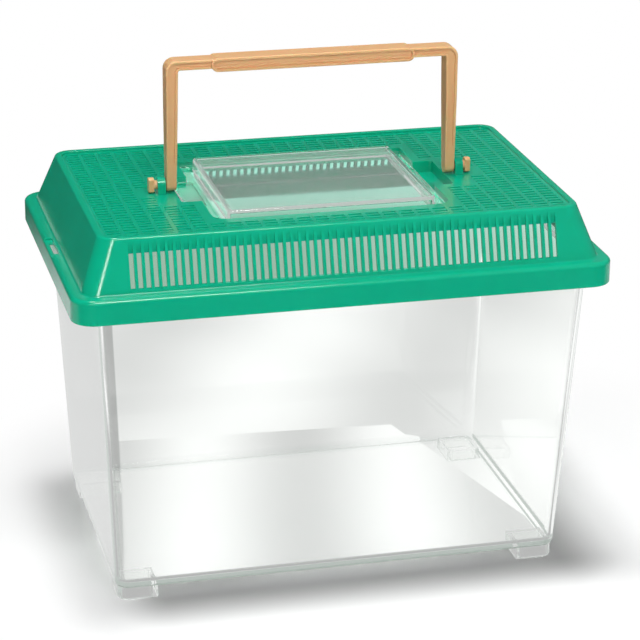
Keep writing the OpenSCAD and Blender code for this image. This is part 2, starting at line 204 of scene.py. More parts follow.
def table_seen(tree, place):
    """The table as the camera sees it: lit, with a painted contact shadow round a rectangle, and
    plain white with distance."""
    gap = calc_vector(tree, "SUBTRACT", place, CONTACT_MID)
    gap = calc_vector(tree, "SUBTRACT", calc_vector(tree, "ABSOLUTE", gap), CONTACT_HALF)
    gap = calc_vector(tree, "MAXIMUM", gap, (0, 0, 0))
    beside = step_up(tree, calc_vector(tree, "LENGTH", gap, gives="Value"), CONTACT_ENDS)
    tone = blend_colour(tree, beside, grey(CONTACT_DARK), grey(FLOOR_LIFT))
    lit = add(tree, "ShaderNodeBsdfDiffuse", {0: tone}).outputs[0]
    away = calc_vector(tree, "DISTANCE", place, SHADOW_MID, gives="Value")
    return add(tree, "ShaderNodeMixShader", {0: step_up(tree, away, FLOOR_PLAIN), 1: lit,
                                             2: emit(tree, grey(1))}).outputs[0]


def table_mirrored(tree, y):
    """The table as glossy faces mirror it."""
    back = calc(tree, "SUBTRACT", 1.0, step_up(tree, y, TABLE_BACK))
    bright = calc(tree, "MULTIPLY", step_up(tree, y, TABLE_FRONT), back)
    gloss = add(tree, "ShaderNodeMapRange", {"Value": bright, "To Min": TABLE_DIM,
                                             "To Max": TABLE_GLOSS})
    return emit(tree, grey(1), gloss.outputs[0])


def table_through(tree, place, x, y):
    """The table as clear plastic shows it: painted shade in bands, to the left and in front,
    painted grey-green shade behind, and grey far off.
    """
    right, back = (calc(tree, "LESS_THAN", along(tree, place, way), end)
                   for way, end in (UNDER_RIGHT, UNDER_BACK))
    near = blend_colour(tree, calc(tree, "MULTIPLY", right, back),
                        shade_bands(tree, place, *SHADE_BANDS_BEHIND), shade_bands(tree, place, *SHADE_BANDS_UNDER))
    for reach, ends in ((along(tree, place, SHADE_WAY), SHADE_LEFT), (y, SHADE_FRONT)):
        outside = calc(tree, "MAXIMUM", *(step_up(tree, reach, pair) for pair in ends))
        near = blend_colour(tree, outside, grey(SHADE), near)
    shaded_field = blend_colour(tree, step_up(tree, x, SHADED_FIELD_SIDES), linear(SHADED_FIELD_LEFT),
                          linear(SHADED_FIELD_RIGHT))
    off = calc_vector(tree, "DISTANCE", place, TABLE_MID, gives="Value")
    seen = near
    for value, ends, look in ((y, SHADED_FIELD_ENDS, shaded_field), (y, SHADED_FIELD_FAR_ENDS, linear(SHADED_FIELD_FAR)),
                              (off, TABLE_ENDS, grey(SIDE_GREY))):
        seen = blend_colour(tree, step_up(tree, value, ends), seen, look)
    return emit(tree, seen, WINDOW)


def make_floor():
    """A white laminate table. Each kind of ray has its own look of it, and light itself
    meets the plain laminate."""
    half = FLOOR_SIZE / 2
    mesh = bpy.data.meshes.new("floor")
    mesh.from_pydata([(-half, -half, 0), (half, -half, 0), (half, half, 0), (-half, half, 0)],
                     [], [(0, 1, 2, 3)])
    floor = bpy.data.objects.new("floor", mesh)
    bpy.context.scene.collection.objects.link(floor)
    material, tree, out = new_material("white_table_laminate")
    path = add(tree, "ShaderNodeLightPath")
    place = add(tree, "ShaderNodeTexCoord").outputs["Object"]
    x, y, _ = add(tree, "ShaderNodeSeparateXYZ", {0: place}).outputs
    shader = add(tree, "ShaderNodeBsdfDiffuse", {0: linear(FLOOR_WHITE)}).outputs[0]
    for when, look in ((path.outputs["Is Camera Ray"], table_seen(tree, place)),
                       (path.outputs["Is Glossy Ray"], table_mirrored(tree, y)),
                       (through_plastic(tree, path), table_through(tree, place, x, y))):
        shader = add(tree, "ShaderNodeMixShader", {0: when, 1: shader, 2: look}).outputs[0]
    tree.links.new(shader, out.inputs[0])
    mesh.materials.append(material)


def make_sky():
    """Plain white where it is seen, dim where it is mirrored, and behind clear plastic white
    ahead and grey at the sides. It lights everything else evenly."""
    world = bpy.data.worlds.new("room")
    bpy.context.scene.world = world
    world.use_nodes = True
    tree = world.node_tree
    tree.nodes.clear()
    path = add(tree, "ShaderNodeLightPath")
    way = add(tree, "ShaderNodeTexCoord").outputs["Generated"]
    x, y, _ = add(tree, "ShaderNodeSeparateXYZ", {0: way}).outputs
    window = blend_colour(tree, step_up(tree, y, SKY_ENDS), grey(WINDOW), grey(SIDE_GREY))
    room = blend_colour(tree, step_up(tree, x, ROOM_ENDS), grey(ROOM_LEFT), grey(ROOM_RIGHT))
    colour = grey(SKY_LIGHT)
    for when, look in ((path.outputs["Is Camera Ray"], grey(1)),
                       (path.outputs["Is Glossy Ray"], room),
                       (through_plastic(tree, path), window)):
        colour = blend_colour(tree, when, colour, look)
    sky = add(tree, "ShaderNodeBackground", {0: colour, 1: 1.0})
    add(tree, "ShaderNodeOutputWorld", {0: sky.outputs[0]})


def make_lamp(name, at, size, power):
    """A soft square lamp that faces the object. Rays that clear plastic bends don't meet it:
    its light comes through the plastic by way of the plastic's own pale shadow."""
    data = bpy.data.lights.new(name, "AREA")
    data.size = size
    data.energy = power
    lamp = bpy.data.objects.new(name, data)
    bpy.context.scene.collection.objects.link(lamp)
    lamp.visible_transmission = False
    lamp.location = at
    lamp.rotation_euler = (Vector(LAMP_AIM) - Vector(at)).to_track_quat("-Z", "Y").to_euler()


make_floor()
make_sky()
for lamp_name, lamp_values in LAMPS.items():
    make_lamp(lamp_name, *lamp_values)

# ---------------------------------------------------------------- tub
# One clear polystyrene injection moulding. Its walls lean out to a flange that the lid
# grips, and four hollow feet are moulded under its corners. Here and below sizes are in
# millimetres and angles in degrees, but a material's scales and depths are in metres.

FOOT_H, TUB_H = 6.6, 174.6
TUB_W, TUB_D = 272.4, 187.4
TUB_LEAN_X, TUB_LEAN_Y = 8.7, 11.9
TUB_WALL, TUB_FLOOR = 2.4, 2.8
TUB_R, TUB_EDGE_R, TUB_FILLET = 8.0, 3.0, 4.0
RIM_W, RIM_D, RIM_R, RIM_T, RIM_EDGE_R = 293.8, 189.8, 9.9, 2.4, 0.5
FOOT_LEN, FOOT_WALL, FOOT_INSET, FOOT_IN_R, FOOT_EDGE_R = 22.0, 2.6, 1.2, 2.0, 0.5
TUB_TOP = FOOT_H + TUB_H
CORNERS = ((1, -1), (1, 1), (-1, 1), (-1, -1))
FOOT_BITE, LEAST_R = 0.4, 0.15
# Clear polystyrene: the tint of a long path and of the shadow, waves about 45 mm long, and the
# number of mirrorings in a wall after which a painted pale grey glow takes the plastic's place.
STYRENE_IOR, STYRENE_HAZE, HAZE_ENDS = 1.59, (0.012, 0.045), (0.3, 0.7)
PATH_TINT, PATH_DENSITY, SHADOW_TINT = (0.54, 0.60, 0.555, 1), 10.0, (0.94, 0.945, 0.94, 1)
WAVE_SCALE, WAVE_DETAIL, WAVE_ROUGH = 22.0, 2.0, 0.45
WAVE_BUMP, WAVE_DEPTH = 0.05, 0.0006
TRAPPED_AFTER, EDGE_GLOW = 2.5, "#cbd2ce"


def bend(inset, height, radius, start, end, steps=6):
    """The arc of a rounded edge in a section, about a centre given by its inset and its
    height: 0 degrees points outwards, 90 up. Returns a row of insets and one of heights."""
    angle = np.radians(np.linspace(start, end, steps + 1))
    return np.stack([inset - radius * np.cos(angle), height + radius * np.sin(angle)])


def point(inset, height):
    """One point of a section."""
    return np.array([[inset], [height]], float)


def ring(size, radius, sections, lean=(0, 0), foot=0, centre=(0, 0), steps=10):
    """A stack of rounded rectangles, one for each point of the sections: size shrinks by the
    inset all round and by lean for each millimetre above foot, and each corner is an arc
    about its own centre, (half - radius). A radius is one for all corners or four in the
    order of CORNERS; with no steps the corners are square. Returns (rings, points, 3)."""
    inset, height = np.hstack(sections)[:, :, None]
    half = [size[k] / 2 - lean[k] * (height - foot) - inset for k in (0, 1)]
    radii = radius if isinstance(radius, tuple) else (radius,) * 4
    corners = []
    for quarter, (side, r) in enumerate(zip(CORNERS, radii)):
        angle = np.radians(90 * (quarter - 1) + np.linspace(0, 90, steps + 1))
        r = np.maximum(r - inset, LEAST_R) if steps else 0 * inset
        corners.append([centre[k] + side[k] * (half[k] - r) + r * turn(angle)
                        for k, turn in ((0, np.cos), (1, np.sin))])
    x, y = (np.concatenate([corner[k] for corner in corners], 1) for k in (0, 1))
    return np.stack([x, y, np.broadcast_to(height, x.shape)], -1)


def skin(*stacks):
    """The closed surface over stacks of rings: a quad between neighbouring rings and
    points, and a cap on the first and the last ring."""
    rings = np.concatenate(stacks)
    k, n = rings.shape[:2]
    i, j = np.arange(k - 1)[:, None] * n, np.arange(n)[None, :]
    turned = (j + 1) % n
    quads = np.stack([i + j, i + turned, i + n + turned, i + n + j], -1).reshape(-1, 4)
    caps = [list(range(n))[::-1], list(range((k - 1) * n, k * n))]
    return rings.reshape(-1, 3), quads.tolist() + caps


def join(shells):
    """Several (points, faces) shells as one."""
    shells = list(shells)
    starts = np.cumsum([0] + [len(points) for points, _ in shells])
    faces = [[v + int(start) for v in face]
             for start, (_, part) in zip(starts, shells) for face in part]
    return np.concatenate([points for points, _ in shells]), faces


def solid(name, shell):
    """An object from a shell in millimetres, with its faces turned outwards."""
    points, faces = shell
    mesh = bpy.data.meshes.new(name)
    mesh.from_pydata((points * MM).tolist(), [], faces)
    turning = bmesh.new()
    turning.from_mesh(mesh)
    bmesh.ops.recalc_face_normals(turning, faces=turning.faces)
    turning.to_mesh(mesh)
    turning.free()
    made = bpy.data.objects.new(name, mesh)
    bpy.context.scene.collection.objects.link(made)
    return made


def combine(target, operation, *shells):
    """Unites a target with each shell, or cuts each from it, by exact boolean."""
    for shell in shells:
        tool = solid("tool", shell)
        step = target.modifiers.new("step", "BOOLEAN")
        step.operation = operation
        step.solver = "EXACT"
        step.object = tool
        with bpy.context.temp_override(object=target, active_object=target):
            bpy.ops.object.modifier_apply(modifier=step.name)
        bpy.data.objects.remove(tool)


def finish_piece(piece, node, material, sharp=35.0):
    """Gives a piece its material and its place in the frame, and shades it smooth except at
    edges sharper than the angle, with normals weighted by area so that flats stay flat."""
    mesh = piece.data
    mesh.materials.clear()
    mesh.materials.append(material)
    mesh.polygons.foreach_set("material_index", np.zeros(len(mesh.polygons), np.int32))
    mesh.polygons.foreach_set("use_smooth", np.ones(len(mesh.polygons), bool))
    mesh.set_sharp_from_angle(angle=math.radians(sharp))
    weighted = piece.modifiers.new("weighted", "WEIGHTED_NORMAL")
    weighted.keep_sharp = True
    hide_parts(node)
    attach(piece, node)


def tub_shell():
    """Up the outside, over the flange, down the inside and over the floor."""
    base = (TUB_W - 2 * TUB_LEAN_X, TUB_D - 2 * TUB_LEAN_Y)
    lean = (-TUB_LEAN_X / TUB_H, -TUB_LEAN_Y / TUB_H)
    outside = [bend(TUB_EDGE_R, FOOT_H + TUB_EDGE_R, TUB_EDGE_R, -90, 0),
               point(0, TUB_TOP - RIM_T)]
    rim = [bend(RIM_EDGE_R, TUB_TOP - RIM_T + RIM_EDGE_R, RIM_EDGE_R, -90, 0, steps=3),
           bend(RIM_EDGE_R, TUB_TOP - RIM_EDGE_R, RIM_EDGE_R, 0, 90, steps=3)]
    inside = [bend(TUB_WALL - RIM_EDGE_R, TUB_TOP - RIM_EDGE_R, RIM_EDGE_R, 90, 180, steps=3),
              bend(TUB_WALL + TUB_FILLET, FOOT_H + TUB_FLOOR + TUB_FILLET, TUB_FILLET, 0, -90)]
    return skin(ring(base, TUB_R, outside, lean, FOOT_H), ring((RIM_W, RIM_D), RIM_R, rim),
                ring(base, TUB_R, inside, lean, FOOT_H))


def foot_shell(side):
    """A square cup under one corner, open below: down its hollow, round the edge that it
    stands on and up the outside. Only the corner under the tub's own is widely rounded."""
    at = (side[0] * (TUB_W / 2 - TUB_LEAN_X - FOOT_INSET - FOOT_LEN / 2),
          side[1] * (TUB_D / 2 - TUB_LEAN_Y - FOOT_INSET - FOOT_LEN / 2))
    radii = tuple(TUB_R - FOOT_INSET if c == side else FOOT_EDGE_R for c in CORNERS)
    hollow = [point(FOOT_WALL, FOOT_H + FOOT_BITE),
              bend(FOOT_WALL - FOOT_EDGE_R, FOOT_EDGE_R, FOOT_EDGE_R, 180, 270, steps=3)]
    outside = [bend(FOOT_EDGE_R, FOOT_EDGE_R, FOOT_EDGE_R, -90, 0, steps=3),
               point(0, FOOT_H + TUB_EDGE_R / 2)]
    size = (FOOT_LEN, FOOT_LEN)
    return skin(ring(size, FOOT_WALL + FOOT_IN_R, hollow, centre=at),
                ring(size, radii, outside, centre=at))


def clear_polystyrene(name, tint):
    """General-purpose polystyrene, moulded against polished steel: clear, with a trace of
    grey-green down a long path and a faint waviness where it froze against the mould.
    After a ray is mirrored over and over inside a wall, a painted pale grey glow takes the
    plastic's place and stands in for the light that leaves a cut edge. Lamps shine through it, so
    that it throws a pale shadow."""
    material, tree, out = new_material(name)
    place = add(tree, "ShaderNodeTexCoord").outputs["Object"]
    wave = add(tree, "ShaderNodeTexNoise", {"Vector": place, "Scale": WAVE_SCALE,
                                            "Detail": WAVE_DETAIL,
                                            "Roughness": WAVE_ROUGH}).outputs["Fac"]
    haze = add(tree, "ShaderNodeMapRange", {"Value": wave, "From Min": HAZE_ENDS[0],
                                            "From Max": HAZE_ENDS[1],
                                            "To Min": STYRENE_HAZE[0],
                                            "To Max": STYRENE_HAZE[1]})
    bump = add(tree, "ShaderNodeBump", {"Height": wave, "Strength": WAVE_BUMP,
                                        "Distance": WAVE_DEPTH})
    plastic = add(tree, "ShaderNodeBsdfPrincipled",
                  {"Base Color": linear(tint), "Roughness": haze.outputs[0],
                   "IOR": STYRENE_IOR, "Transmission Weight": 1.0,
                   "Normal": bump.outputs[0]})
    path = add(tree, "ShaderNodeLightPath")
    # Painted glow: past this many mirrorings the surface shines pale grey instead of bending light.
    trapped = calc(tree, "GREATER_THAN", path.outputs["Glossy Depth"], TRAPPED_AFTER)
    inside = add(tree, "ShaderNodeMixShader", {0: trapped, 1: plastic.outputs[0],
                                               2: emit(tree, linear(EDGE_GLOW))})
    passed = add(tree, "ShaderNodeBsdfTransparent", {0: SHADOW_TINT})
    mixed = add(tree, "ShaderNodeMixShader", {0: path.outputs["Is Shadow Ray"],
                                              1: inside.outputs[0], 2: passed.outputs[0]})
    depth = add(tree, "ShaderNodeVolumeAbsorption", {"Color": PATH_TINT,
                                                     "Density": PATH_DENSITY})
    tree.links.new(mixed.outputs[0], out.inputs["Surface"])
    tree.links.new(depth.outputs[0], out.inputs["Volume"])
    return material


tub = solid("tub_shell", tub_shell())
combine(tub, "UNION", join(foot_shell(side) for side in CORNERS))
finish_piece(tub, "tub", clear_polystyrene("clear_polystyrene_polished", "#fdfefd"))

# ---------------------------------------------------------------- lid
# One injection moulding in glossy green polypropylene: skirt, ledge, slotted hood, slit
# top plate and the well for the hatch. It presses on over the tub's flange.

LID_W, LID_D, SKIRT_R = 300.0, 196.0, 13.0
SKIRT_Z, LID_UNDER, LEDGE_Z = 169.7, 181.4, 183.6
LID_WALL, SLOPE_WALL = 2.2, 2.317
SKIRT_EDGE_R, LEDGE_R, LEDGE_W = 0.6, 2.5, 6.5
HOOD_H, HOOD_R, HOOD_FILLET = 28.7, 9.5, 0.8
HOOD_LEAN_X, HOOD_LEAN_Y = 10.5, 9.5
LIP_R, LIP_W, LIP_IN_R = 1.0, 3.6, 0.4
PLATE_T, PLATE_SINK = 2.2, 1.4
HOOD_W, HOOD_D = LID_W - 2 * LEDGE_W, LID_D - 2 * LEDGE_W
TOP_W, TOP_D = HOOD_W - 2 * HOOD_LEAN_X, HOOD_D - 2 * HOOD_LEAN_Y
PLATE_W, PLATE_D = TOP_W - 2 * LIP_W, TOP_D - 2 * LIP_W
LIP_Z = LEDGE_Z + HOOD_H
PLATE_Z = LIP_Z - PLATE_SINK
SLOT_PITCH, SLOT_W, SLOT_MARGIN, SLOT_FOOT, FLUTE_TOP = 4.25, 2.6, 14.5, 2.4, 1.8
SLIT_LEN, SLIT_W, SLIT_PITCH_X, SLIT_PITCH_Y = 7.4, 1.9, 9.5, 4.25
SLIT_BORDER, WELL_BORDER = 1.2, 4.0
AXIS_Y = -5.0
WELL_W, WELL_D, WELL_R, WELL_WALL = 133.2, 107.0, 8.0, 2.4
SEAT_Z, SEAT_SIDE, SEAT_END = 206.0, 6.4, 3.6
POCKET_LEN, POCKET_W, POCKET_UNDER, POCKET_R = 45.0, 11.4, 3.4, 2.0
POCKET_Y, POCKET_Z = -2.5, 204.3
HINGE_Y, HINGE_Z, HATCH_PIN_R = 46.6, 207.7, 1.5
PIN_Y, PIN_Z, PIN_R, PIN_CLEAR = -5.0, 215.5, 2.5, 0.05
LUG_X, LUG_T, LUG_D, LUG_EDGE_R = 83.5, 4.6, 9.0, 0.4
CATCH_LEN, CATCH_W, CATCH_STEP_LEN, CATCH_STEP = 18.0, 2.7, 30.0, 1.2
NIB_H, NIB_REACH = 3.0, 0.5
OVER = 1.0
ALONG_X, ALONG_Y = [2, 0, 1], [1, 2, 0]
# Polypropylene: colour drifts over about 70 mm, and the peel's pits are about 2.4 mm wide.
PROPYLENE_IOR, GLOSS_BELOW, GLOSS_ABOVE = 1.49, 0.06, 0.08
DRIFT_SCALE, DRIFT_DETAIL, DRIFT_ROUGH = 14.0, 3.0, 0.55
PEEL_SCALE, PEEL_DETAIL, PEEL_BUMP, PEEL_DEPTH = 420.0, 2.0, 0.12, 0.0002
SCATTER_SHARE, SCATTER_WAY, SCATTER_REACH = 0.6, (0.5, 1.0, 0.8), 0.003
GREEN, GREEN_DEEP, GREEN_ROUGH, GREEN_FLOW = "#03ae89", "#04a37f", 0.17, (1, 2, 2)


def block(size, radius, low, high, centre=(0, 0), steps=10):
    """A rounded block from one height to another."""
    return skin(ring(size, radius, [point(0, low), point(0, high)], centre=centre, steps=steps))


def rod(radius, low, high, centre):
    """A cylinder along X, about a centre in Y and Z."""
    rings = ring((2 * radius, 2 * radius), radius, [point(0, low), point(0, high)], centre=centre)
    return skin(rings[..., ALONG_X])


def both(shell):
    """A shell and its mirror image in X."""
    points, faces = shell
    return join([shell, (points * (-1, 1, 1), faces)])


def repeat(shell, x, y):
    """A shell once at each of the places."""
    places = np.stack([np.ravel(x), np.ravel(y), np.zeros(np.size(x))], -1)
    return join((shell[0] + place, shell[1]) for place in places)


def lid_shell():
    """Down the inside from the plate's underside, round the skirt's lower edge, and up over
    ledge, slope and lip to the plate's top."""
    hood, lean = (HOOD_W, HOOD_D), (HOOD_LEAN_X / HOOD_H, HOOD_LEAN_Y / HOOD_H)
    hollow = [point(SLOPE_WALL, PLATE_Z - PLATE_T), point(SLOPE_WALL, LID_UNDER)]
    skirt = [point(LID_WALL, LID_UNDER),
             bend(LID_WALL - SKIRT_EDGE_R, SKIRT_Z + SKIRT_EDGE_R, SKIRT_EDGE_R, 180, 270, steps=3),
             bend(SKIRT_EDGE_R, SKIRT_Z + SKIRT_EDGE_R, SKIRT_EDGE_R, -90, 0, steps=3),
             bend(LEDGE_R, LEDGE_Z - LEDGE_R, LEDGE_R, 0, 90, steps=8)]
    slope = [bend(-HOOD_FILLET, LEDGE_Z + HOOD_FILLET, HOOD_FILLET, 270, 180, steps=4),
             bend(LIP_R, LIP_Z - LIP_R, LIP_R, 0, 90)]
    lip = [bend(LIP_W - LIP_IN_R, LIP_Z - LIP_IN_R, LIP_IN_R, 90, 180, steps=3),
           point(LIP_W, PLATE_Z)]
    return skin(ring(hood, HOOD_R, hollow, lean, LEDGE_Z), ring((LID_W, LID_D), SKIRT_R, skirt),
                ring(hood, HOOD_R, slope, lean, LEDGE_Z), ring((TOP_W, TOP_D), HOOD_R, lip))


def slots():
    """Upright prisms behind both long slopes. Each begins as a flute in the slope's face and
    breaks through the wall further down, because the slope leans away from it."""
    steps = math.floor((TOP_W - 2 * SLOT_MARGIN - SLOT_W) / SLOT_PITCH)
    face = TOP_D / 2 + HOOD_LEAN_Y * FLUTE_TOP / HOOD_H
    prism = block((SLOT_W, LID_D / 2 - face), 0, LEDGE_Z + SLOT_FOOT, LIP_Z + OVER, steps=0)
    x, y = np.meshgrid((np.arange(steps + 1) - steps / 2) * SLOT_PITCH,
                       np.array([-1, 1]) * (face + LID_D / 2) / 2)
    return repeat(prism, x, y)


def slits():
    """Rows of short slits across the plate, left out round the well, pockets and lugs."""
    columns = math.floor((PLATE_W - 2 * SLIT_BORDER - SLIT_LEN) / SLIT_PITCH_X)
    rows = math.floor((PLATE_D - 2 * SLIT_BORDER - SLIT_W) / SLIT_PITCH_Y)
    x, y = np.meshgrid((np.arange(columns + 1) - columns / 2) * SLIT_PITCH_X,
                       (np.arange(rows + 1) - rows / 2) * SLIT_PITCH_Y)
    keep_off = [(0, AXIS_Y, WELL_W / 2, WELL_D / 2),
                (WELL_W / 2, POCKET_Y, POCKET_W, POCKET_LEN / 2),
                (LUG_X + LUG_T / 2, PIN_Y, LUG_T / 2, LUG_D / 2)]
    bare = np.any([(abs(abs(x) - cx) < hx + WELL_BORDER + SLIT_LEN / 2)
                   & (abs(y - cy) < hy + WELL_BORDER + SLIT_W / 2)
                   for cx, cy, hx, hy in keep_off], 0)
    slit = block((SLIT_LEN, SLIT_W), 0, PLATE_Z - PLATE_T - OVER, PLATE_Z + OVER, steps=0)
    return repeat(slit, x[~bare], y[~bare])


def lug():
    """An upright plate with a round head that carries one pin of the handle."""
    foot = PLATE_Z - PLATE_T / 2
    top = PIN_Z + LUG_D / 2
    sides = [bend(LUG_EDGE_R, LUG_X + LUG_EDGE_R, LUG_EDGE_R, -90, 0, steps=3),
             bend(LUG_EDGE_R, LUG_X + LUG_T - LUG_EDGE_R, LUG_EDGE_R, 0, 90, steps=3)]
    rings = ring((LUG_D, top - foot), (LUG_EDGE_R, LUG_D / 2, LUG_D / 2, LUG_EDGE_R), sides,
                 centre=(PIN_Y, (foot + top) / 2))
    return skin(rings[..., ALONG_X])


def nib():
    """The wedge inside the skirt that clicks under the tub's flange."""
    top, face = TUB_TOP - RIM_T - NIB_REACH, LID_W / 2 - LID_WALL
    wedge = np.array([(face + LID_WALL / 2, top - NIB_H), (face, top - NIB_H),
                      (face - NIB_REACH, top - NIB_REACH), (face - NIB_REACH, top),
                      (face + LID_WALL / 2, top)])
    ends = [np.insert(wedge, 1, AXIS_Y + side * CATCH_LEN / 2, 1) for side in (-1, 1)]
    return skin(np.stack(ends))


def make_lid():
    """The moulding: the shell and the well's walls, then everything that is cut from them,
    then the lugs and the nibs."""
    lid = solid("lid_moulding", lid_shell())
    axis, pocket = (0, AXIS_Y), (WELL_W / 2, POCKET_Y)
    well_r = (WELL_R, LEAST_R, LEAST_R, WELL_R)
    walls_r = (WELL_R + WELL_WALL, LEAST_R, LEAST_R, WELL_R + WELL_WALL)
    in_plate = PLATE_Z - PLATE_T / 2
    combine(lid, "UNION",
            block((WELL_W + 2 * WELL_WALL, WELL_D + 2 * WELL_WALL), walls_r,
                  SEAT_Z - PLATE_T, in_plate, axis),
            both(block((2 * (POCKET_W + WELL_WALL), POCKET_LEN + 2 * WELL_WALL),
                       POCKET_R + WELL_WALL, POCKET_Z - PLATE_T, in_plate, pocket)))
    beside = (WELL_W / 2 + (POCKET_W - POCKET_UNDER) / 2, POCKET_Y)
    hole_end = WELL_W / 2 + WELL_WALL + OVER
    window_x = LID_W / 2 - LID_WALL - CATCH_W / 2
    step_w = CATCH_W + LID_WALL + OVER
    step_x = LID_W / 2 - LID_WALL - CATCH_W + step_w / 2
    combine(lid, "DIFFERENCE",
            block((WELL_W, WELL_D), well_r, SEAT_Z, PLATE_Z + OVER, axis),
            block((WELL_W - 2 * SEAT_SIDE, WELL_D - 2 * SEAT_END), POCKET_R,
                  POCKET_Z - PLATE_T - OVER, PLATE_Z + OVER, axis),
            both(block((POCKET_W + POCKET_UNDER, POCKET_LEN), POCKET_R, POCKET_Z,
                       PLATE_Z + OVER, beside)),
            rod(HATCH_PIN_R + PIN_CLEAR, -hole_end, hole_end, (HINGE_Y, HINGE_Z)),
            both(block((CATCH_W, CATCH_LEN), 0, LID_UNDER - OVER, LEDGE_Z + OVER,
                       (window_x, AXIS_Y), steps=0)),
            both(block((step_w, CATCH_STEP_LEN), 0, LEDGE_Z - CATCH_STEP, LEDGE_Z + OVER,
                       (step_x, AXIS_Y), steps=0)),
            slots(), slits())
    combine(lid, "UNION", both(lug()), both(nib()))
    combine(lid, "DIFFERENCE",
            both(rod(PIN_R + PIN_CLEAR, LUG_X - OVER, LUG_X + LUG_T + OVER, (PIN_Y, PIN_Z))))
    return lid


def polypropylene(name, colour, deep, roughness, flow):
    """Polypropylene coloured in the mass: a soft gloss, a faint drift of colour along the
    way that it flowed in the mould, a fine orange peel, and light that spreads up to 3 mm
    under the skin and softens thin bars. flow stretches the drift."""
    material, tree, out = new_material(name)
    place = add(tree, "ShaderNodeTexCoord").outputs["Object"]
    flowed = add(tree, "ShaderNodeMapping", {0: place, "Scale": flow}).outputs[0]
    drift = add(tree, "ShaderNodeTexNoise", {"Vector": flowed, "Scale": DRIFT_SCALE,
                                             "Detail": DRIFT_DETAIL,
                                             "Roughness": DRIFT_ROUGH}).outputs["Fac"]
    gloss = add(tree, "ShaderNodeMapRange", {"Value": drift,
                                             "To Min": roughness - GLOSS_BELOW,
                                             "To Max": roughness + GLOSS_ABOVE})
    peel = add(tree, "ShaderNodeTexNoise", {"Vector": place, "Scale": PEEL_SCALE,
                                            "Detail": PEEL_DETAIL})
    bump = add(tree, "ShaderNodeBump", {"Height": peel.outputs["Fac"],
                                        "Strength": PEEL_BUMP, "Distance": PEEL_DEPTH})
    plastic = add(tree, "ShaderNodeBsdfPrincipled",
                  {"Base Color": blend_colour(tree, drift, linear(deep), linear(colour)),
                   "Roughness": gloss.outputs[0], "IOR": PROPYLENE_IOR,
                   "Normal": bump.outputs[0], "Subsurface Weight": SCATTER_SHARE,
                   "Subsurface Radius": SCATTER_WAY, "Subsurface Scale": SCATTER_REACH})
    tree.links.new(plastic.outputs[0], out.inputs[0])
    return material


finish_piece(make_lid(), "lid",
             polypropylene("green_polypropylene_gloss", GREEN, GREEN_DEEP, GREEN_ROUGH,
                           GREEN_FLOW))

# ---------------------------------------------------------------- hatch
# A clear polystyrene moulding: a raised hollow panel in a flat flange, with a finger tab
# at the left and hinge pins at the back that snap into the walls of the well.

HATCH_T, HATCH_GAP, HATCH_LIFT = 2.0, 0.4, 0.2
FLANGE_EDGE_R, PANEL_FILLET = 0.4, 0.6
PANEL_W, PANEL_D, PANEL_R, PANEL_EDGE_R = 116.8, 100.0, 3.0, 1.2
FRONT_FLANGE, PANEL_RISE = 2.0, 3.6
TAB_X, TAB_LEN, TAB_R = -75.7, 43.6, 2.0
HATCH_PIN_LEN = 2.0
FLANGE_W = WELL_W - 2 * HATCH_GAP
FLANGE_FRONT = AXIS_Y - WELL_D / 2 + HATCH_GAP
FLANGE_Z = SEAT_Z + HATCH_LIFT


def hatch_shell():
    """Down the hollow from its ceiling, round the flange and up the panel to its top."""
    flange_top, panel_top = FLANGE_Z + HATCH_T, PLATE_Z + PANEL_RISE
    panel_at = (0, FLANGE_FRONT + FRONT_FLANGE + PANEL_D / 2)
    flange_r = (WELL_R - HATCH_GAP, 2 * FLANGE_EDGE_R, 2 * FLANGE_EDGE_R, WELL_R - HATCH_GAP)
    hollow = [bend(PANEL_FILLET + HATCH_T, panel_top - HATCH_T - PANEL_FILLET, PANEL_FILLET,
                   90, 0, steps=3), point(HATCH_T, FLANGE_Z)]
    flange = [bend(FLANGE_EDGE_R, FLANGE_Z + FLANGE_EDGE_R, FLANGE_EDGE_R, -90, 0, steps=3),
              bend(FLANGE_EDGE_R, flange_top - FLANGE_EDGE_R, FLANGE_EDGE_R, 0, 90, steps=3)]
    panel = [bend(-PANEL_FILLET, flange_top + PANEL_FILLET, PANEL_FILLET, 270, 180, steps=3),
             bend(PANEL_EDGE_R, panel_top - PANEL_EDGE_R, PANEL_EDGE_R, 0, 90)]
    return skin(ring((PANEL_W, PANEL_D), PANEL_R, hollow, centre=panel_at),
                ring((FLANGE_W, HINGE_Y - FLANGE_FRONT), flange_r, flange,
                     centre=(0, (HINGE_Y + FLANGE_FRONT) / 2)),
                ring((PANEL_W, PANEL_D), PANEL_R, panel, centre=panel_at))


def tab_shell():
    """A flat tongue that runs on from the flange into the left finger pocket."""
    root = -FLANGE_W / 2 + 2 * TAB_R
    edge = [bend(FLANGE_EDGE_R, FLANGE_Z + FLANGE_EDGE_R, FLANGE_EDGE_R, -90, 0, steps=3),
            bend(FLANGE_EDGE_R, FLANGE_Z + HATCH_T - FLANGE_EDGE_R, FLANGE_EDGE_R, 0, 90, steps=3)]
    return skin(ring((root - TAB_X, TAB_LEN), TAB_R, edge, centre=((root + TAB_X) / 2, POCKET_Y)))


hatch = solid("hatch_moulding", hatch_shell())
pin_end = FLANGE_W / 2 + HATCH_PIN_LEN
combine(hatch, "UNION", tab_shell(), rod(HATCH_PIN_R, -pin_end, pin_end, (HINGE_Y, HINGE_Z)))
finish_piece(hatch, "hatch",
             clear_polystyrene("clear_polystyrene_hatch", "#fafdfb"))

# ---------------------------------------------------------------- handle
# A tan polypropylene bail: recessed legs, a thicker grip, and pins with cross heads that
# spring through the lugs.

